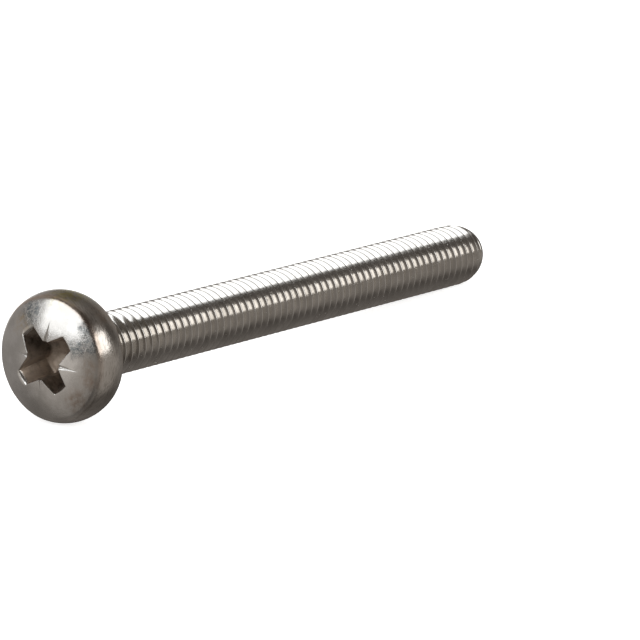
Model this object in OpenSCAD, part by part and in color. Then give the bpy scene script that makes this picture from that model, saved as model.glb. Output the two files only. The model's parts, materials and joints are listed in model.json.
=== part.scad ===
// Pan head machine screw with a cross recess and a thread up to the head.
// It lies on a level surface, on the rim of its head and the end of its shank.
// The origin is the middle of the bearing face, and the shank runs along +X.
// Sizes are in millimetres.

/* [Thread] */
// Diameter over the crests of the thread
thread_d = 4.85; // [3:0.05:8]
// Distance from one crest to the next
thread_pitch = 0.8; // [0.5:0.05:1.25]
// Length from the bearing face to the end of the shank
shank_len = 50; // [16:0.5:80]
// Length of the plain neck between the bearing face and the thread
neck_len = 1.2; // [0.4:0.1:3]
// Radius of the fillet between the neck and the bearing face
neck_fillet_r = 0.3; // [0.1:0.05:0.5]
// Length of the rounded end of the shank
end_round_len = 1.9; // [0.8:0.1:3]
// Radius of the arc that rounds the end of the shank
end_round_r = 3.8; // [3:0.1:6]

/* [Head] */
// Diameter of the head where it is widest
head_d = 10; // [8:0.1:16]
// Height of the head from the bearing face to the top of the dome
head_h = 3.8; // [3.4:0.1:6]
// Radius of the dome
dome_r = 11.4; // [9:0.1:20]
// Radius of the arc that bulges the side of the head
side_bulge_r = 3.2; // [2.5:0.1:5]
// Height above the bearing face where the head is widest
side_bulge_h = 1.4; // [1:0.1:1.8]

/* [Recess] */
// Width of the recess over two opposite wings, at the surface of the dome
recess_w = 5.2; // [4.2:0.1:6.5]
// Width of a wing at its outer end
wing_end_w = 1.2; // [0.8:0.05:1.6]
// Angle by which each flank of a wing opens towards the middle, in degrees
wing_open_angle = 12.5; // [8:0.5:24]
// Angle by which each flank of a wing leans in with depth, in degrees
wing_draft_angle = 5; // [2:0.5:8]
// Angle by which the outer end of a wing leans in with depth, in degrees
wing_end_angle = 26.5; // [20:0.5:32]
// Depth of the wings below the top of the dome
wing_depth = 2.6; // [2:0.1:3]
// Height of the blunt point at the bottom of the recess
point_h = 0.4; // [0.2:0.05:0.6]
// Distance from the middle of the recess to the outer tip of a tick mark
tick_reach = 2.75; // [2.2:0.05:3.5]
// Width of a tick mark where it meets the recess
tick_w = 0.36; // [0.2:0.02:0.5]
// Turn of the recess about the axis of the screw, in degrees
recess_turn = 52; // [0:1:90]

/* [Hidden] */
$fn = 96;

// Metric thread: flanks at 60 degrees, a crest of an eighth of the pitch, and a root that
// lies 17/24 of the height of the sharp triangle below the crest.
flank_angle = 30;
sharp_h = thread_pitch / (2 * tan(flank_angle));
groove_depth = sharp_h * 17 / 24;
crest_w = thread_pitch / 8;
flank_w = groove_depth * tan(flank_angle);
crest_r = thread_d / 2;
root_r = crest_r - groove_depth;
pitch_r = crest_r - sharp_h * 3 / 8;
first_crest_z = neck_len + (crest_r - pitch_r) * tan(flank_angle);
crest_count = ceil((shank_len - first_crest_z) / thread_pitch);

end_round_z = shank_len - end_round_len;
side_bulge_x = head_d / 2 - side_bulge_r;

// The screw tips down towards its end, because the head is wider than the shank.
lie_angle = atan((head_d / 2 - crest_r) / (end_round_z + side_bulge_h));

// How far cutting shapes stand clear of the solid that they cut.
over = 1;
// Size of the blocks that stand for all that lies on one side of a plane.
far = 30;

// Depth of the dome's surface below its top, at a distance r from the axis.
function dome_drop(r) = dome_r - sqrt(dome_r * dome_r - r * r);

// Half the width over the wings at a depth below the top of the dome.
function wing_reach(depth) = recess_w / 2 - (depth - dome_drop(recess_w / 2)) * tan(wing_end_angle);

// Distance from the middle to the corner where two wings' flanks meet, at such a depth.
function rib_reach(depth) =
    let (half_w = wing_end_w / 2 - (depth - dome_drop(recess_w / 2)) * tan(wing_draft_angle))
    sqrt(2) * (half_w + recess_w / 2 * tan(wing_open_angle)) / (1 + tan(wing_open_angle));

// Where a tick mark meets the recess, and the slope of its bottom, which falls from its tip to
// its full depth there.
tick_inner_r = rib_reach(0);
tick_slope = (dome_drop(tick_reach) - dome_drop(tick_inner_r) - tick_w / 2)
    / (tick_reach - tick_inner_r);

// Sections are drawn with the radius along x and the axis along y, and the shank up.

// One crest of the thread, with the flank on each side of it, as points of the section.
function crest_points(z) = [
    [root_r, z - flank_w],
    [crest_r, z],
    [crest_r, z + crest_w],
    [root_r, z + crest_w + flank_w]
];

module thread_section() {
    crests = [for (i = [0 : crest_count - 1]) each crest_points(first_crest_z + i * thread_pitch)];
    thread_end = first_crest_z + crest_count * thread_pitch;
    intersection() {
        union() {
            polygon(concat([[0, 0]], crests, [[root_r, thread_end], [0, thread_end]]));
            square([pitch_r, neck_len]);
        }
        end_envelope();
    }
}

// All that lies inside the rounded end of the shank.
module end_envelope() {
    translate([0, -over]) square([crest_r + over, end_round_z + over]);
    intersection() {
        translate([crest_r - end_round_r, end_round_z]) circle(end_round_r);
        square([crest_r + over, shank_len]);
    }
}

module neck_section() {
    difference() {
        translate([0, -over]) square([pitch_r + neck_fillet_r, neck_fillet_r + over]);
        translate([pitch_r + neck_fillet_r, neck_fillet_r]) circle(neck_fillet_r);
    }
}

// The head's section: a bulged side under a dome, flat on its bearing face.
module head_section() {
    intersection() {
        union() {
            translate([side_bulge_x, -side_bulge_h]) circle(side_bulge_r);
            translate([0, -head_h]) square([side_bulge_x, head_h]);
        }
        translate([0, dome_r - head_h]) circle(dome_r);
        translate([0, -head_h]) square([head_d, head_h]);
    }
}

// What lies outside one flank of the wing that points along +x.
module flank_block() {
    translate([recess_w / 2, wing_end_w / 2, dome_drop(recess_w / 2)])
        rotate([0, 0, -wing_open_angle])
            rotate([wing_draft_angle, 0, 0])
                translate([-far, 0, -far]) cube(2 * far);
}

// The metal between the wings along +x and +y.
module rib() {
    intersection() {
        flank_block();
        mirror([1, -1, 0]) flank_block();
    }
}

// A shallow V along the dome at 45 degrees to the wings, which rises out of the metal at its tip.
module tick_mark() {
    rotate([0, 0, 45])
        translate([tick_reach, 0, dome_drop(tick_reach)])
            rotate([0, -atan(tick_slope), 0])
                translate([-tick_reach, 0, 0])
                    rotate([225, 0, 0]) cube([2 * tick_reach, over, over]);
}

// The recess, with the top of the dome at z = 0 and its depth along +z. The wings' outer ends
// are parts of one cone.
module recess() {
    difference() {
        translate([0, 0, -over])
            cylinder(h = wing_depth + over, r1 = wing_reach(-over), r2 = wing_reach(wing_depth));
        for (i = [0 : 3]) rotate([0, 0, i * 90]) rib();
    }
    translate([0, 0, wing_depth]) cylinder(h = point_h, r1 = rib_reach(wing_depth), r2 = 0);
    for (i = [0 : 3]) rotate([0, 0, i * 90]) tick_mark();
}

// One forged and rolled piece of stainless steel.
module machine_screw() {
    color([0.62, 0.6, 0.57])
        rotate([0, 90 + lie_angle, 0])
            difference() {
                rotate_extrude() {
                    head_section();
                    neck_section();
                    thread_section();
                }
                translate([0, 0, -head_h]) rotate([0, 0, recess_turn]) recess();
            }
}

machine_screw();
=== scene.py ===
import json
import math

import bpy
from mathutils import Matrix, Vector


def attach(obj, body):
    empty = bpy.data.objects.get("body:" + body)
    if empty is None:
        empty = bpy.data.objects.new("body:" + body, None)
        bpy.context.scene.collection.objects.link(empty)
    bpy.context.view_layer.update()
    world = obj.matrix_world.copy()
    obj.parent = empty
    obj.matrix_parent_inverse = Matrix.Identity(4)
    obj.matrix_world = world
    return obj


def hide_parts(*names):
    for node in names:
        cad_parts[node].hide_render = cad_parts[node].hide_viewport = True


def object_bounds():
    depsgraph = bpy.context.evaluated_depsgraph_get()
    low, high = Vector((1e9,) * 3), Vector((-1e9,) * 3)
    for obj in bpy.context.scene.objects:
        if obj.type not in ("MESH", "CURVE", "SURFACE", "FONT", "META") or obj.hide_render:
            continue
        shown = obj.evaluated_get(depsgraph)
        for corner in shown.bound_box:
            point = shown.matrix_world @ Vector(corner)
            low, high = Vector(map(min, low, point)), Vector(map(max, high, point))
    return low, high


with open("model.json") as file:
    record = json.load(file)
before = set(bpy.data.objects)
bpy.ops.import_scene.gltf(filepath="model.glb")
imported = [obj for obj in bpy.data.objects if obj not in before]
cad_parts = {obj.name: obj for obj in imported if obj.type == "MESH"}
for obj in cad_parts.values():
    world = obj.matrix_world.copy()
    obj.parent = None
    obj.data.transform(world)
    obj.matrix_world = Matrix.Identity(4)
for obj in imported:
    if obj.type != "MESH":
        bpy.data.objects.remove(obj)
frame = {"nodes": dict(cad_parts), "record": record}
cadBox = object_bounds()

mm = 0.001

# The screw's own axes: x towards the floor, y across, z from the bearing face to the end of the shank
mounts = {mount["name"]: mount for mount in frame["record"]["mounts"]}
axis = Vector(mounts["bearing_face"]["axis"]).normalized()
across = Vector((0, 1, 0))
down = across.cross(axis)
toPart = Matrix((down, across, axis)).transposed()

cadPoints = [vertex.co for vertex in frame["nodes"]["machine_screw"].data.vertices]
alongAxis = [point.dot(axis) / mm for point in cadPoints]
shankLength = max(alongAxis)
headHeight = -Vector(mounts["drive_recess"]["pos_m"]).dot(axis) / mm
facetGap = 0.009             # keeps the round head inside the CAD model's flat facets
headRadius = max(abs(point.y) for point in cadPoints) / mm - facetGap
crestRadius = mounts["threaded_shank"]["dims"]["r_mm"]
print("frame: shank", round(shankLength, 2), "head", round(headHeight, 2), round(headRadius, 2))


# Points of an arc in the section, where a point is (radius, place along the axis)
def arcPoints(centre, radius, start, end, steps):
    angles = [start + (end - start) * step / steps for step in range(steps + 1)]
    return [(centre[0] + radius * math.cos(a), centre[1] + radius * math.sin(a)) for a in angles]


def blend(low, high, share):
    return low + (high - low) * share


# The point of a line at a share of it
def between(first, second, share):
    return blend(first[0], second[0], share), blend(first[1], second[1], share)


# A point turned round the origin
def turned(x, y, angle):
    return x * math.cos(angle) - y * math.sin(angle), x * math.sin(angle) + y * math.cos(angle)


def smooth(share):
    share = min(1.0, max(0.0, share))
    return share * share * (3 - 2 * share)


# The head: sizes in mm, angles in degrees
head = {
    "domeRadius": 11.4,
    "sideRadius": 3.2,
    "sideHeight": 1.4,
    "creaseRound": 0.62,
    "rimRound": 0.12,
    "innerCircle": 3.4,      # where the rings round the recess become true circles
    "columns": 192,
    "domeSteps": 10,         # steps of the section over each of its arcs
    "creaseSteps": 5,
    "sideSteps": 20,
    "rimSteps": 4,
}

# The cross recess: four wings, and between them four blunt ribs with a tick mark outside each
recess = {
    "turn": 52,
    "width": 5.2,
    "endWidth": 1.2,
    "openAngle": 12.5,
    "draftAngle": 5,
    "endAngle": 26.5,
    "depth": 2.6,
    "pointDepth": 3.0,
    "cornerRound": 0.1,
    "ribWidth": 0.42,        # across the blunt edge of a rib, at the top and at the bottom
    "ribWidthDeep": 0.26,
    "tickReach": [2.35, 2.6, 2.95, 3.1],     # of the ticks at turn - 45, + 45, + 135, + 225
    "tickDepth": [0.13, 0.06, 0.19, 0.16],
    "wingReach": [0.06, 0.02, 0.05, -0.03],  # extra reach of each wing as it was struck
    "lipRound": 0.06,
    "lipWide": [0.27, 0.27, 0.06, 0.11],     # widest lip at the end of each wing
    "lipNarrowFrom": 0.6,    # it narrows from this share of the way to the wing's corner,
    "lipNarrowOver": 0.5,    # over this share of it
    "pointRadius": 1.3,      # where the cone of the floor ends
    "tipSide": 0.012,        # between neighbouring columns at a tick's tip
    "floorSteps": 7,
    "wallSteps": 16,
    "lipSteps": 4,
    "tickSteps": 10,         # from the lip to a tick's tip
    "domeSteps": 15,         # from the lip to the inner circle
}


def domeDrop(radius):
    return head["domeRadius"] - math.sqrt(head["domeRadius"] ** 2 - radius ** 2)


# One quarter of the recess is 48 columns: 3 over half a rib, 13 along a flank, 2 round a corner,
# 12 over the wing's end, and the same back to the next rib
quarter = head["columns"] // 4
ribColumns = 3
flankColumns = 13
cornerColumns = 2
endColumns = quarter - 2 * (ribColumns + flankColumns + cornerColumns)


# Half of a wing's outline at a depth, from the middle of the rib's blunt edge to the wing's
# centre line, in the wing's own axes (out along the wing, to its side)
def halfOutline(depth, extraReach):
    half = recess["width"] / 2
    below = depth - domeDrop(half)
    openAngle = math.radians(recess["openAngle"])
    openTan = math.tan(openAngle)
    inset = below * math.tan(math.radians(recess["draftAngle"])) / math.cos(openAngle)
    reach = half + extraReach - below * math.tan(math.radians(recess["endAngle"]))

    def sideAt(out):
        return recess["endWidth"] / 2 - inset + (half - out) * openTan

    share = min(1.0, max(0.0, depth / recess["depth"]))
    ribHalf = blend(recess["ribWidth"], recess["ribWidthDeep"], share) / 2
    # the flank meets the rib's blunt edge where out - side = ribHalf * sqrt(2)
    ribOut = (sideAt(0) + ribHalf * math.sqrt(2)) / (1 + openTan)
    ribCorner = (ribOut, sideAt(ribOut))
    middle = (ribCorner[0] + ribCorner[1]) / 2
    ribMiddle = (middle, middle)
    ball = recess["cornerRound"]
    flankEnd = (reach - ball, sideAt(reach - ball))
    endSide = sideAt(reach) - ball
    points = []
    for step in range(ribColumns):
        points.append(between(ribMiddle, ribCorner, step / ribColumns))
    for step in range(flankColumns):
        points.append(between(ribCorner, flankEnd, step / flankColumns))
    for step in range(cornerColumns):
        turn = math.radians(90) * (1 - step / cornerColumns)
        points.append((flankEnd[0] + ball * math.cos(turn), blend(endSide, flankEnd[1], math.sin(turn))))
    for step in range(endColumns // 2 + 1):
        side = endSide * (1 - step / (endColumns / 2))
        points.append((reach - side * side / (2 * half), side))
    return points


# The whole outline of the recess at the depths of its columns
def outline(depths):
    points = []
    for column in range(head["columns"]):
        wing, place = divmod(column, quarter)
        mirrored = place > quarter // 2
        index = quarter - place if mirrored else place
        out, side = halfOutline(depths[column], recess["wingReach"][wing])[index]
        if not mirrored:
            side = -side
        points.append(turned(out, side, math.radians(recess["turn"] + 90 * wing)))
    return points


# How far a column is from the middle of the nearest rib, in columns, and which rib that is
def nearRib(column):
    wing, place = divmod(column, quarter)
    if place > quarter // 2:
        return place - quarter, (wing + 1) % 4
    return place, wing


def tickDepth(column, radius, start):
    offset, rib = nearRib(column)
    reach = recess["tickReach"][rib]
    if abs(offset) > 1 or radius >= reach:
        return 0.0
    fade = min(1.0, (reach - radius) / (reach - start))
    return recess["tickDepth"][rib] * (1 - abs(offset) / 2) * fade


# The lip that the punch left round the recess is widest at the ends of the two left wings
def lipWidth(column):
    wing, place = divmod(column, quarter)
    fromMiddle = abs(place - quarter // 2) / (endColumns / 2 + cornerColumns)
    narrowing = smooth((fromMiddle - recess["lipNarrowFrom"]) / recess["lipNarrowOver"])
    return blend(recess["lipWide"][wing], recess["lipRound"], narrowing)


# Where the recess meets the dome: its outline, the depth of each column there, and the ribs' radius
def recessRim():
    rimDepth = [0.3] * head["columns"]
    for _ in range(6):       # the outline and the dome settle on each other
        rim = outline(rimDepth)
        rimDepth = [domeDrop(math.hypot(*point)) for point in rim]
    ribStart = min(math.hypot(*point) for point in rim)
    rimDepth = [depth + tickDepth(c, ribStart, ribStart) for c, depth in enumerate(rimDepth)]
    return outline(rimDepth), rimDepth, ribStart


def onDome(column, x, y, ribStart):
    radius = math.hypot(x, y)
    return x, y, domeDrop(radius) + tickDepth(column, radius, ribStart)


# Where a column is on its way from the lip to the inner circle
def wayOverDome(column, start, step):
    offset, rib = nearRib(column)
    turn = math.radians(recess["turn"] - 45 + 90 * rib)
    fromRib = offset * 2 * math.pi / head["columns"]
    if abs(offset) > 2:
        goal = turned(head["innerCircle"], 0, turn + fromRib)
        return between(start, goal, step / recess["domeSteps"])
    # the columns next to a tick are drawn together to its tip, and spread again beyond it
    tip = recess["tickReach"][rib], recess["tipSide"] * offset
    if step <= recess["tickSteps"]:
        place = between(turned(*start, -turn), tip, step / recess["tickSteps"])
    else:
        share = (step - recess["tickSteps"]) / (recess["domeSteps"] - recess["tickSteps"])
        place = between(tip, turned(head["innerCircle"], 0, fromRib), share)
    return turned(*place, turn)


def recessRings():
    columns = range(head["columns"])
    rim, rimDepth, ribStart = recessRim()
    rings = []
    # floor, from the middle outwards
    floorEdge = outline([recess["depth"]] * head["columns"])
    for step in range(1, recess["floorSteps"]):
        share = step / recess["floorSteps"]
        ring = []
        for x, y in floorEdge:
            outwards = min(1.0, math.hypot(x, y) * share / recess["pointRadius"])
            ring.append((x * share, y * share, blend(recess["pointDepth"], recess["depth"], outwards)))
        rings.append(ring)
    # walls, from the floor up to the lip
    for step in range(recess["wallSteps"] + 1):
        share = step / recess["wallSteps"]
        depths = [blend(recess["depth"], rimDepth[c] + lipWidth(c), share) for c in columns]
        rings.append([(x, y, depth) for (x, y), depth in zip(outline(depths), depths)])
    # the lip turns over onto the dome
    low = rings[-1]
    corner = [(*rim[c], rimDepth[c]) for c in columns]
    outer = []
    for c in columns:
        before, after = rim[c - 1], rim[(c + 1) % head["columns"]]
        along = Vector((after[0] - before[0], after[1] - before[1])).normalized()
        x, y = rim[c][0] + along.y * lipWidth(c), rim[c][1] - along.x * lipWidth(c)
        outer.append(onDome(c, x, y, ribStart))
    for step in range(1, recess["lipSteps"] + 1):
        t = step / recess["lipSteps"]
        ring = []
        for start, pull, end in zip(low, corner, outer):
            point = Vector(start) * (1 - t) ** 2 + Vector(pull) * 2 * t * (1 - t) + Vector(end) * t * t
            ring.append(tuple(point))
        rings.append(ring)
    # over the dome to the inner circle
    for step in range(1, recess["domeSteps"] + 1):
        rings.append([onDome(c, *wayOverDome(c, outer[c][:2], step), ribStart) for c in columns])
    return [[(x, y, depth - headHeight) for x, y, depth in ring] for ring in rings]


# Section of the head from the inner circle, over the crease and the side, to the neck
def headSection():
    domeCentre = (0, head["domeRadius"] - headHeight)
    sideCentre = (headRadius - head["sideRadius"], -head["sideHeight"])
    ball = head["creaseRound"]
    # the ball that rounds the crease touches both arcs from inside
    far, near = head["domeRadius"] - ball, head["sideRadius"] - ball
    gap = Vector(sideCentre) - Vector(domeCentre)
    alongGap = (far ** 2 - near ** 2 + gap.length ** 2) / (2 * gap.length)
    offGap = math.sqrt(far ** 2 - alongGap ** 2)
    direction = gap.normalized()
    sideways = Vector((-direction.y, direction.x))
    creaseCentre = Vector(domeCentre) + direction * alongGap + sideways * offGap
    domeEnd = math.atan2(creaseCentre.y - domeCentre[1], creaseCentre.x - domeCentre[0])
    sideStart = math.atan2(creaseCentre.y - sideCentre[1], creaseCentre.x - sideCentre[0])
    domeStart = -math.acos(head["innerCircle"] / head["domeRadius"])
    # the ball that rounds the rim touches the side and the bearing face
    rim = head["rimRound"]
    sideEnd = math.asin((head["sideHeight"] - rim) / (head["sideRadius"] - rim))
    rimCentre = (sideCentre[0] + (head["sideRadius"] - rim) * math.cos(sideEnd), -rim)
    arcs = [
        (domeCentre, head["domeRadius"], domeStart, domeEnd, head["domeSteps"]),
        (creaseCentre, ball, domeEnd, sideStart, head["creaseSteps"]),
        (sideCentre, head["sideRadius"], sideStart, sideEnd, head["sideSteps"]),
        (rimCentre, rim, sideEnd, math.pi / 2, head["rimSteps"]),
    ]
    return [point for arc in arcs for point in arcPoints(*arc)[1:]]


# The thread: metric, right-hand, rolled up to the neck and out over the rounded end
thread = {
    "pitch": 0.8,
    "faceShare": 0.55,       # of the bearing face that lies outside the circle in it
    "neckFillet": 0.3,
    "filletSteps": 5,
    "phase": 0.195,          # where a crest crosses local angle 0, beyond the bearing face
    "crest": 0.085,
    "crestRound": 0.035,
    "rootRound": 0.05,
    "startGap": 0.05,        # from the fillet to the first row
    "runInPlace": 1.05,      # where the grooves begin, and over how many pitches they deepen
    "runInPitches": 0.8,
    "endLength": 1.9,
    "endRound": 3.8,
    "endInset": 0.25,        # how far the rows stop before the middle of the end face
    "endMiddle": 0.15,       # radius of the last circle in the end face
    "endBlend": 0.05,        # rounds the edge between the grooves and the rounded end
    "endMargin": 1,          # the rounding starts this far before the rounded end
    "columns": 96,
}
sharpHeight = thread["pitch"] * math.sqrt(3) / 2
grooveDepth = sharpHeight * 17 / 24
pitchRadius = crestRadius - sharpHeight * 3 / 8
flankWidth = grooveDepth / math.sqrt(3)


# One pitch of the thread's section from the middle of a crest: (share of the pitch, depth)
def pitchSection():
    flat = thread["crest"] / 2
    bevel = thread["crestRound"]
    foot = thread["rootRound"]
    rootEdge = flat + flankWidth
    half = [
        (0, 0),
        (flat - bevel * 0.5, 0),
        (flat + bevel * 0.5, bevel * 0.5),
        (flat + (rootEdge - flat) * 0.42, grooveDepth * 0.5),
        (rootEdge - foot * 0.5, grooveDepth - foot * 0.87),
        (rootEdge + foot * 0.6, grooveDepth),
    ]
    other = [(thread["pitch"] - place, depth) for place, depth in reversed(half[1:])]
    return [(place / thread["pitch"], depth) for place, depth in half + other]


# The rounded end, by the length of the way along the screw's outside: where the round starts, where
# it ends, and its radius there
roundStart = shankLength - thread["endLength"]
roundTurn = math.asin(thread["endLength"] / thread["endRound"])
roundEnd = roundStart + roundTurn * thread["endRound"]
endRadius = crestRadius - thread["endRound"] * (1 - math.cos(roundTurn))


# Radius and place along the axis of the screw's outside, by the length along it
def shankOutside(length):
    if length <= roundStart:
        return crestRadius, length
    if length > roundEnd:
        return endRadius - (length - roundEnd), shankLength
    turn = (length - roundStart) / thread["endRound"]
    radius = crestRadius - thread["endRound"] * (1 - math.cos(turn))
    return radius, roundStart + thread["endRound"] * math.sin(turn)


# Radius and place of the thread's surface, by the length along the outside and the groove's depth
def threadOutside(length, depth):
    radius, place = shankOutside(length)
    runIn = smooth((length - thread["runInPlace"]) / (thread["runInPitches"] * thread["pitch"]))
    threadRadius = blend(pitchRadius, crestRadius - depth, runIn)
    if place > roundStart - thread["endMargin"]:
        return softLesser(radius, threadRadius, thread["endBlend"]), place
    return threadRadius, place


# A soft lesser of two numbers, which rounds the edge between two surfaces
def softLesser(first, second, width):
    gap = max(0.0, width - abs(first - second)) / width
    return min(first, second) - gap * gap * width / 4


# Each vertex takes its normal mostly from the largest faces round it, so that flanks shade as flat
def steadyNormals(mesh):
    mesh.shade_smooth()
    normals = [Vector() for _ in mesh.vertices]
    for face in mesh.polygons:
        pull = (face.area / mm ** 2) ** 2
        for index in face.vertices:
            normals[index] += face.normal * pull
    mesh.normals_split_custom_set_from_vertices([normal.normalized() for normal in normals])


# The screw's points, faces and zones as they are added; a zone is 1 inside the recess and 0 outside
vertices = []
faces = []
zones = []
startTurn = math.radians(recess["turn"] - 45)


def addRing(points, zone=0.0):
    first = len(vertices)
    vertices.extend(points)
    zones.extend([zone] * len(points))
    return list(range(first, len(vertices)))


def addCircle(radius, place, columns):
    turns = [startTurn + 2 * math.pi * index / columns for index in range(columns)]
    return addRing([(*turned(radius, 0, turn), place) for turn in turns])


def bridge(lower, upper):
    count = len(lower)
    for index in range(count):
        after = (index + 1) % count
        faces.append((lower[index], lower[after], upper[after], upper[index]))
    return upper


# The head, from the point of the recess to the rim of the bearing face
def addHead():
    point = addRing([(0, 0, recess["pointDepth"] - headHeight)], 1.0)[0]
    rings = recessRings()
    innerRings = recess["floorSteps"] + recess["wallSteps"]
    ring = addRing(rings[0], 1.0)
    for index in range(len(ring)):
        faces.append((point, ring[(index + 1) % len(ring)], ring[index]))
    for number, points in enumerate(rings[1:], 1):
        ring = bridge(ring, addRing(points, 1.0 if number < innerRings else 0.0))
    for radius, place in headSection():
        ring = bridge(ring, addCircle(radius, place, head["columns"]))
    return ring, radius


# The bearing face halves the number of columns, then the fillet leads into the neck
def addNeck(rim, rimRadius):
    columns = thread["columns"]
    fillet = thread["neckFillet"]
    filletCentre = (pitchRadius + fillet, fillet)
    inner = addCircle(blend(rimRadius, filletCentre[0], thread["faceShare"]), 0, columns)
    for index in range(columns):
        after = (index + 1) % columns
        first, second, third = rim[2 * index], rim[2 * index + 1], rim[2 * after]
        faces.append((first, second, inner[index]))
        faces.append((second, inner[after], inner[index]))
        faces.append((second, third, inner[after]))
    ring = inner
    for radius, place in arcPoints(filletCentre, fillet, -math.pi / 2, -math.pi, thread["filletSteps"]):
        ring = bridge(ring, addCircle(radius, place, columns))
    return ring


# The shank: rows that run along the helix, so that its crests and roots are true lines
def addShank(ring):
    pitch = thread["pitch"]
    columns = thread["columns"]
    profile = pitchSection()
    rows = len(profile)
    startPlace = thread["neckFillet"] + thread["startGap"]
    # the first row starts a whole step of the profile below a crest
    crestAtStart = thread["phase"] + pitch * math.degrees(startTurn) / 360
    skip = math.ceil((startPlace - crestAtStart) / pitch * rows)
    lastLength = roundEnd + endRadius - thread["endInset"] - pitch
    totalRows = int((lastLength - startPlace) / pitch * rows)

    grid = []
    for column in range(columns):
        line = []
        for row in range(totalRows + 1):
            pitches, step = divmod(row + skip, rows)
            share, depth = profile[step]
            length = crestAtStart + pitch * (pitches + share + column / columns)
            radius, place = threadOutside(length, depth)
            line.append((*turned(radius, 0, startTurn + 2 * math.pi * column / columns), place))
        grid.append(addRing(line))

    for left, right in zip(grid, grid[1:]):
        for row in range(totalRows):
            faces.append((left[row], right[row], right[row + 1], left[row + 1]))
    for row in range(totalRows - rows):
        faces.append((grid[-1][row], grid[0][row + rows], grid[0][row + rows + 1], grid[-1][row + 1]))
    # the neck's last ring to the first row of the helix, with a fan where the helix begins
    bridge(ring, [line[0] for line in grid])
    for row in range(rows):
        faces.append((grid[-1][0], grid[0][row], grid[0][row + 1]))
    # the last row of the helix to a small circle in the end face, and its middle
    for row in range(totalRows - rows, totalRows):
        faces.append((grid[-1][row], grid[0][-1], grid[-1][row + 1]))
    last = bridge([line[-1] for line in grid], addCircle(thread["endMiddle"], shankLength, columns))
    middle = addRing([(0, 0, shankLength)])[0]
    for column in range(columns):
        faces.append((last[column], last[(column + 1) % columns], middle))


def buildScrew():
    rim, rimRadius = addHead()
    addShank(addNeck(rim, rimRadius))
    mesh = bpy.data.meshes.new("screwBody")
    mesh.from_pydata([toPart @ (Vector(point) * mm) for point in vertices], [], faces)
    mesh.validate()
    mesh.attributes.new("recessZone", "FLOAT", "POINT").data.foreach_set("value", zones)
    places = [part for point in vertices for part in point]
    mesh.attributes.new("place", "FLOAT_VECTOR", "POINT").data.foreach_set("vector", places)
    steadyNormals(mesh)
    screwBody = bpy.data.objects.new("screwBody", mesh)
    bpy.context.scene.collection.objects.link(screwBody)
    print("screw:", len(mesh.vertices), "vertices", len(mesh.polygons), "faces")
    return screwBody


# A socket that can be used in sums, so that shader maths reads as Python
class Wire:
    def __init__(self, tree, socket):
        self.tree = tree
        self.socket = socket

    @classmethod
    def node(cls, tree, kind, settings, sockets, output=0):
        made = tree.nodes.new(kind)
        for name, value in settings.items():
            setattr(made, name, value)
        for name, value in sockets.items():
            if isinstance(value, Wire):
                tree.links.new(value.socket, made.inputs[name])
            else:
                made.inputs[name].default_value = value
        return cls(tree, made.outputs[output])

    def maths(self, operation, second=0.0, swapped=False):
        first, second = (second, self) if swapped else (self, second)
        return Wire.node(self.tree, "ShaderNodeMath", {"operation": operation}, {0: first, 1: second})

    def __add__(self, other):
        return self.maths("ADD", other)

    def __radd__(self, other):
        return self.maths("ADD", other, True)

    def __sub__(self, other):
        return self.maths("SUBTRACT", other)

    def __rsub__(self, other):
        return self.maths("SUBTRACT", other, True)

    def __mul__(self, other):
        return self.maths("MULTIPLY", other)

    def __rmul__(self, other):
        return self.maths("MULTIPLY", other, True)

    def vectorMaths(self, operation, second, output=0):
        sockets = {0: self, 1: tuple(second)}
        return Wire.node(self.tree, "ShaderNodeVectorMath", {"operation": operation}, sockets, output)

    def dot(self, vector):
        return self.vectorMaths("DOT_PRODUCT", vector, "Value")

    # A soft step from 0 to 1 between two values
    def rise(self, low, high):
        settings = {"interpolation_type": "SMOOTHSTEP"}
        sockets = {0: self, 1: low, 2: high, 3: 0.0, 4: 1.0}
        return Wire.node(self.tree, "ShaderNodeMapRange", settings, sockets)

    # The share of this wire that a colour takes in another
    def mixColour(self, first, second, mode="MIX"):
        return mixColour(self.tree, self, first, second, mode)


def mixColour(tree, factor, first, second, mode="MIX"):
    settings = {"data_type": "RGBA", "blend_type": mode}
    first, second = [(*c, 1) if isinstance(c, tuple) else c for c in (first, second)]
    return Wire.node(tree, "ShaderNodeMix", settings, {0: factor, 6: first, 7: second}, 2)


# A colour with a tint over it, as strong as the amount
def tinted(colour, amount, tint):
    return amount.mixColour(colour, mixColour(colour.tree, 1.0, colour, tint, "MULTIPLY"))


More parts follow.
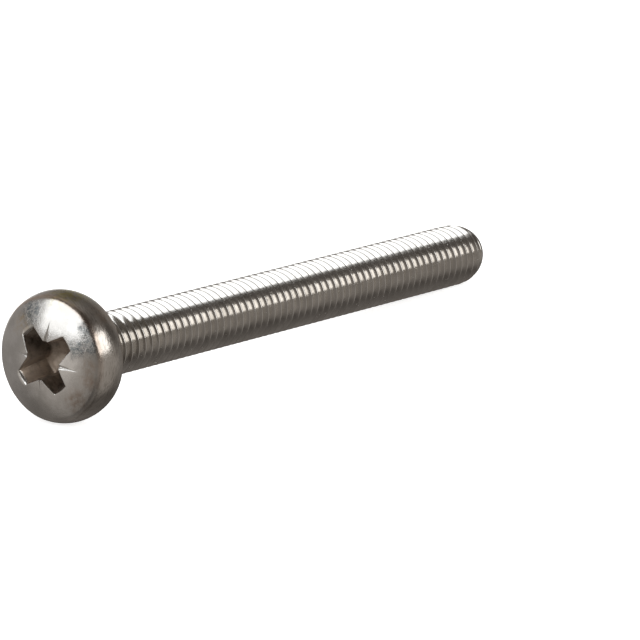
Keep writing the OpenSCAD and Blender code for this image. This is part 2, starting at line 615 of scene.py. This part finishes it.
# The steel: satin where the head was forged, brighter on the rolled thread, dull and brown in the
# recess. Its colour also carries painted shade in the recess, round the crease, in the mottled pits
# and in two small patches. Grain is in patches a millimetre, and heights and places are in mm in the
# screw's own axes. A pair such as cloudEdge is where a soft step begins and ends
steel = {
    "threadEdge": (-0.05, 0.15),         # along the axis, from head to thread
    "sideEdge": (4.5, 4.75),             # radius, from dome to side
    "bearingEdge": (-2.8, -2.4),         # along the axis, from dome to side
    "light": (0.65, 0.63, 0.60),
    "dark": (0.56, 0.54, 0.51),
    "cloudGrain": 0.8,
    "cloudEdge": (0.36, 0.64),
    "headRoughness": 0.2,
    "sideRoughness": 0.19,
    "sideTint": (0.94, 0.92, 0.9),
    "streakTurn": 12.0,                  # streaks over a radian, and over a mm along and outwards
    "streakAlong": 6.0,
    "streakSlant": 4.0,
    "streakEdge": (0.34, 0.5),
    "streakTint": (0.8, 0.79, 0.78),
    "streakHeight": 0.016,
    "threadGain": (1.08, 1.08, 1.08),
    "threadRoughness": 0.13,
    "threadHeight": 0.0012,
    "fineGrain": 8.5,
    "fineHeight": 0.004,
    "fineRoughness": 0.08,
    "raggedGrain": 1.6,                  # draws out the edges of patches, and how far in mm
    "raggedReach": 1.3,
    "stainCore": 0.1,                    # share of a patch's radius where it is full
    "stainGrain": 2.6,
    "stainEdge": (0.2, 0.75),
    "blotchGrain": 2.4,
    "blotchShare": 0.45,
    "pitEdge": (0.43, 0.59),
    "mottleCore": 0.2,
    "mottleTint": (0.29, 0.33, 0.36),
    "mottleHeight": 0.015,
    "mottleRoughness": 0.14,
    "creaseRadius": 4.66,
    "creaseEdge": (0.04, 0.22),
    "creaseDown": (1, 0.4, 0),           # the painted brown shade along the crease fades from the top of the head downwards
    "creaseFade": (-3.6, 0.5),
    "creaseTint": (0.8, 0.66, 0.57),
    "creaseShare": 0.6,
    "scorchGrain": 1.7,
    "scorchEdge": (0.3, 0.65),
    "scorchShare": 0.4,                  # of the recess's shade; the rest goes by the pair of wings
    # painted shade: one pair of wings is lit, the other shaded, and the recess's dark colour is painted
    # shade
    "paleWings": (0.62, 0.78, 0),
    "darkWings": (-0.78, 0.62, 0),
    "wingEdge": (-1.3, 1.3),
    "recessColour": (0.44, 0.36, 0.29),
    "recessDark": (0.085, 0.065, 0.05),
    "recessRoughness": 0.42,
    "recessMetal": 0.78,
    "speckGrain": 4.2,
    "speckEdge": (0.74, 0.78),
    "speckColour": (0.85, 0.84, 0.82),
    "speckRoughness": 0.5,
}

# Where the dome stayed mottled as it was forged, with painted shade in its pits, and where it is stained
# or carries painted shade
mottled = [
    {"place": (-3.5, 1.5, -3.1), "size": 1.35},
    {"place": (-1.3, -2.9, -3.4), "size": 1.0},
    {"place": (-1.7, -4.0, -2.9), "size": 1.15},
    {"place": (-2.9, -3.5, -2.9), "size": 0.95},
]
stainsAndShade = [
    {"place": (2.6, -2.9, -3.2), "size": 1.4, "tint": (0.64, 0.53, 0.46)},
    {"place": (1.0, -4.0, -3.0), "size": 1.1, "tint": (0.7, 0.59, 0.52)},
    {"place": (-0.1, -4.0, -3.1), "size": 0.9, "tint": (0.84, 0.74, 0.67)},
    # painted shade beside the crease, where the highlight on the dome ends
    {"place": (-3.2, -3.6, -2.9), "size": 1.1, "tint": (0.42, 0.38, 0.36)},
    {"place": (-2.5, 2.4, -3.3), "size": 1.2, "tint": (0.9, 0.78, 0.6)},
    {"place": (-4.9, -0.7, -1.5), "size": 2.1, "tint": (1, 0.95, 0.4)},
    {"place": (-3.6, -3.4, -0.9), "size": 1.9, "tint": (0.92, 0.8, 0.72)},
    # painted shade of a small nick near the end of the shank
    {"place": (2.2, -1.0, 46.1), "size": 0.22, "tint": (0.3, 0.28, 0.26)},
]


# One soft round patch, with its edge drawn out by noise
def patch(ragged, spot, inner):
    away = ragged.vectorMaths("DISTANCE", spot["place"], "Value")
    return 1 - away.rise(spot["size"] * inner, spot["size"])


def noise(place, grain, detail=3.0, rough=0.6, output=0):
    sockets = {"Vector": place, "Scale": grain, "Detail": detail, "Roughness": rough}
    return Wire.node(place.tree, "ShaderNodeTexNoise", {}, sockets, output)


def stainlessSteel():
    material = bpy.data.materials.new("stainlessSteel")
    material.use_nodes = True
    tree = material.node_tree
    shader = tree.nodes["Principled BSDF"]
    inRecess = Wire.node(tree, "ShaderNodeAttribute", {"attribute_name": "recessZone"}, {}, "Fac")
    place = Wire.node(tree, "ShaderNodeAttribute", {"attribute_name": "place"}, {}, "Vector")
    along = place.dot((0, 0, 1))
    radius = place.vectorMaths("MULTIPLY", (1, 1, 0)).vectorMaths("LENGTH", (0, 0, 0), "Value")
    onThread = along.rise(*steel["threadEdge"])
    onSide = radius.rise(*steel["sideEdge"]) + along.rise(*steel["bearingEdge"])
    onSide = onSide.maths("MINIMUM", 1.0) * (1 - onThread)

    # the place with some noise added, for ragged edges
    reach = steel["raggedReach"]
    shift = noise(place, steel["raggedGrain"], output=1).vectorMaths("SUBTRACT", (0.5, 0.5, 0.5))
    sockets = {0: shift, 1: (reach, reach, reach), 2: place}
    ragged = Wire.node(tree, "ShaderNodeVectorMath", {"operation": "MULTIPLY_ADD"}, sockets)

    mottle = 0.0
    for spot in mottled:
        mottle = patch(ragged, spot, steel["mottleCore"]).maths("MAXIMUM", mottle)
    mottle = mottle * (1 - onSide)
    fine = noise(place, steel["fineGrain"])

    # streaks run round the side, and slant a little
    turn = place.dot((0, 1, 0)).maths("ARCTAN2", place.dot((1, 0, 0)))
    sockets = {
        0: turn * steel["streakTurn"] + along * steel["streakSlant"],
        1: along * steel["streakAlong"],
        2: radius * steel["streakAlong"],
    }
    streaks = noise(Wire.node(tree, "ShaderNodeCombineXYZ", {}, sockets), 1.0)

    # colour: soft clouds, dents, stains, patches of painted shade, mottled pits with painted shade
    # and a painted brown shade round the crease
    clouds = noise(place, steel["cloudGrain"], 3.0, 0.55).rise(*steel["cloudEdge"])
    colour = clouds.mixColour(steel["dark"], steel["light"])
    colour = tinted(colour, onThread, steel["threadGain"])
    colour = tinted(colour, onSide, steel["sideTint"])
    dents = onSide * (1 - streaks.rise(*steel["streakEdge"]))
    colour = tinted(colour, dents, steel["streakTint"])
    # stains, and patches of painted shade, tint the colour
    for stainOrShade in stainsAndShade:
        amount = patch(ragged, stainOrShade, steel["stainCore"])
        amount = amount * noise(place, steel["stainGrain"], 3.0, 0.5).rise(*steel["stainEdge"])
        colour = tinted(colour, amount, stainOrShade["tint"])
    blotch = noise(place, steel["blotchGrain"], 4.0, 0.7)
    grain = fine * (1 - steel["blotchShare"]) + blotch * steel["blotchShare"]
    # painted shade: the pits of the forged mottling are darkened with a cool tint
    colour = tinted(colour, mottle * (1 - grain.rise(*steel["pitEdge"])), steel["mottleTint"])
    # painted shade: a brown band along the crease, strongest at the top of the head
    fromCrease = (radius - steel["creaseRadius"]).maths("ABSOLUTE")
    creaseShade = (1 - fromCrease.rise(*steel["creaseEdge"])) * (1 - onThread)
    upper = 1 - place.dot(steel["creaseDown"]).rise(*steel["creaseFade"])
    colour = tinted(colour, creaseShade * upper * steel["creaseShare"], steel["creaseTint"])

    # the recess is brown, with painted shade in patches and in one pair of wings
    recessPatches = noise(place, steel["scorchGrain"]).rise(*steel["scorchEdge"])
    fromPale = place.dot(steel["paleWings"]).maths("ABSOLUTE")
    fromDark = place.dot(steel["darkWings"]).maths("ABSOLUTE")
    wings = (fromPale - fromDark).rise(*steel["wingEdge"])
    shade = recessPatches * steel["scorchShare"] + wings * (1 - steel["scorchShare"])
    colour = inRecess.mixColour(colour, shade.mixColour(steel["recessDark"], steel["recessColour"]))
    specks = noise(place, steel["speckGrain"], 1.0, 0.5).rise(*steel["speckEdge"]) * onThread
    colour = specks.mixColour(colour, steel["speckColour"])
    tree.links.new(colour.socket, shader.inputs["Base Color"])

    headMore = steel["headRoughness"] - steel["threadRoughness"]
    sideMore = steel["sideRoughness"] - steel["headRoughness"]
    recessMore = steel["recessRoughness"] - steel["headRoughness"]
    rough = (1 - onThread) * headMore + steel["threadRoughness"]
    rough = rough + onSide * sideMore + (fine - 0.5) * steel["fineRoughness"]
    rough = rough + mottle * steel["mottleRoughness"] + inRecess * recessMore
    rough = rough + specks * steel["speckRoughness"]
    tree.links.new(rough.socket, shader.inputs["Roughness"])
    metal = 1 - inRecess * (1 - steel["recessMetal"])
    tree.links.new(metal.socket, shader.inputs["Metallic"])

    # heights in mm: fine grain, mottling, and streaks on the side and on the thread
    height = fine * (mottle * steel["mottleHeight"] + steel["fineHeight"] * (1 - onThread))
    height = height + streaks * (onSide * steel["streakHeight"] + onThread * steel["threadHeight"])
    bump = Wire.node(tree, "ShaderNodeBump", {}, {"Height": height, "Distance": mm, "Strength": 1.0})
    tree.links.new(bump.socket, shader.inputs["Normal"])
    return material


screwBody = buildScrew()
screwBody.data.materials.append(stainlessSteel())
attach(screwBody, "root")
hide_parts("machine_screw")

# The camera stands in front of the head, to its right, and looks down a little; places in mm
camera = {
    "place": (-342.323, -276.594, 120.889),
    "heading": 53.433,       # degrees from +Y towards +X
    "fall": 15.064,          # degrees below level
    "lens": 346.716,
    "sensor": 36,
    "clip": (0.01, 50),
}


# The direction at a heading from +Y towards +X and a height above level, in degrees
def aimed(heading, height):
    heading, height = math.radians(heading), math.radians(height)
    level = math.cos(height)
    return Vector((math.sin(heading) * level, math.cos(heading) * level, math.sin(height)))


def placeCamera():
    forward = aimed(camera["heading"], -camera["fall"])
    data = bpy.data.cameras.new("photoCamera")
    data.lens = camera["lens"]
    data.sensor_width = camera["sensor"]
    data.clip_start, data.clip_end = camera["clip"]
    made = bpy.data.objects.new("photoCamera", data)
    made.location = Vector(camera["place"]) * mm
    made.rotation_mode = "QUATERNION"
    made.rotation_quaternion = forward.to_track_quat("-Z", "Y")
    bpy.context.scene.collection.objects.link(made)
    bpy.context.scene.camera = made


# A light or a glow: heading and height of its middle, width and height in degrees, glow and tint
def glow(heading, height, wide, tall, strength, tint=(1, 1, 1)):
    names = ("heading", "height", "wide", "tall", "glow", "tint")
    return dict(zip(names, (heading, height, wide, tall, strength, tint)))


softBoxes = {
    "keyBox": glow(-66.5, 30.5, 41, 44, 1.9, (0.94, 0.97, 1)),
    "sideBox": glow(177.5, 24.5, 69, 30, 2.0, (1, 0.99, 0.98)),
}
softBoxReach = 0.9           # metres from the screw


def placeSoftBox(name, box):
    outwards = aimed(box["heading"], box["height"])
    data = bpy.data.lights.new(name, "AREA")
    data.shape = "RECTANGLE"
    data.size = 2 * softBoxReach * math.tan(math.radians(box["wide"] / 2))
    data.size_y = 2 * softBoxReach * math.tan(math.radians(box["tall"] / 2))
    data.color = box["tint"]
    data.energy = box["glow"] * math.pi * data.size * data.size_y
    made = bpy.data.objects.new(name, data)
    made.location = outwards * softBoxReach
    made.rotation_mode = "QUATERNION"
    made.rotation_quaternion = (-outwards).to_track_quat("-Z", "Y")
    made.visible_camera = False
    bpy.context.scene.collection.objects.link(made)
    return made


# The floor, lit from within like a light table, so that shadows stay faint
paleFloor = {
    "half": 6.0,
    "colour": (0.9, 0.9, 0.9, 1),
    "lit": (1, 1, 1, 1),
    "glow": 0.75,
    "lamp": glow(0, 90, 100, 100, 0.6),
}


def placeFloor():
    lowest = cadBox[0].z
    half = paleFloor["half"]
    mesh = bpy.data.meshes.new("paleFloor")
    corners = [(-half, -half), (half, -half), (half, half), (-half, half)]
    mesh.from_pydata([(x, y, lowest) for x, y in corners], [], [(0, 1, 2, 3)])
    floor = bpy.data.objects.new("paleFloor", mesh)
    bpy.context.scene.collection.objects.link(floor)
    material = bpy.data.materials.new("paleFloor")
    material.use_nodes = True
    shader = material.node_tree.nodes["Principled BSDF"]
    shader.inputs["Base Color"].default_value = paleFloor["colour"]
    shader.inputs["Roughness"].default_value = 1.0
    shader.inputs["Specular IOR Level"].default_value = 0.0
    shader.inputs["Emission Color"].default_value = paleFloor["lit"]
    shader.inputs["Emission Strength"].default_value = paleFloor["glow"]
    mesh.materials.append(material)
    floor.visible_glossy = False
    placeSoftBox("floorLight", paleFloor["lamp"]).visible_glossy = False


# What the studio's walls, table and backdrop send back, as soft ovals with half sizes
room = {
    "dark": (0.085, 0.076, 0.069),
    "camera": (0.94, 0.94, 0.94),
    "glows": {
        "leftWall": glow(-2, 10, 62, 60, 0.27, (1, 0.96, 0.94)),
        "tableFront": glow(-62, -18, 40, 34, 0.34, (1, 0.95, 0.9)),
        "tableBack": glow(-145, -32, 40, 45, 0.1, (1, 0.95, 0.9)),
        "tableRight": glow(157, -15, 56, 48, 0.3, (1, 0.94, 0.88)),
        "tableUnder": glow(0, -90, 180, 75, 0.11, (1, 0.94, 0.9)),
        "cameraSide": glow(-118, -7, 56, 30, 0.14, (1, 0.92, 0.84)),
        "backdrop": glow(36, -1, 42, 11, 0.62),
        "keyEdge": glow(-95, 46, 14, 19, 0.6),
        "tableGlow": glow(-70, -7, 19, 15, 0.34, (1, 0.98, 0.96)),
        "farWall": glow(76, 14, 34, 24, 0.17, (1, 0.97, 0.92)),
        "tableFar": glow(98, -14, 32, 22, 0.13, (1, 0.95, 0.9)),
        "highRight": glow(110, 52, 62, 30, 0.07, (1, 0.96, 0.92)),
        "sideTop": glow(165, 38, 42, 18, 0.2, (1, 0.98, 0.96)),
        "ceiling": glow(20, 42, 50, 42, 0.12, (1, 0.9, 0.82)),
        "overhead": glow(0, 90, 180, 44, 0.27, (1, 0.95, 0.9)),
    },
}


def lightWorld():
    world = bpy.data.worlds.new("studio")
    bpy.context.scene.world = world
    world.use_nodes = True
    tree = world.node_tree
    degrees = math.degrees(1)
    direction = Wire.node(tree, "ShaderNodeTexCoord", {}, {}, "Generated")
    upwards = direction.dot((0, 0, 1)).maths("ARCSINE") * degrees
    light = room["dark"]
    for oval in room["glows"].values():
        front, side = aimed(oval["heading"], 0), aimed(oval["heading"] + 90, 0)
        aside = direction.dot(side).maths("ARCTAN2", direction.dot(front)) * (degrees / oval["wide"])
        raised = (upwards - oval["height"]) * (1 / oval["tall"])
        inside = 1 - (aside * aside + raised * raised).rise(0.0, 1.0)
        colour = tuple(part * oval["glow"] for part in oval["tint"])
        light = inside.mixColour(light, mixColour(tree, 1.0, light, colour, "ADD"))
    seen = Wire.node(tree, "ShaderNodeLightPath", {}, {}, "Is Camera Ray")
    behind = seen.mixColour(light, room["camera"])
    tree.links.new(behind.socket, tree.nodes["Background"].inputs["Color"])


placeCamera()
for name, box in softBoxes.items():
    placeSoftBox(name, box)
placeFloor()
lightWorld()
bpy.context.scene.view_settings.view_transform = "Standard"
print("scene: lights and camera placed")
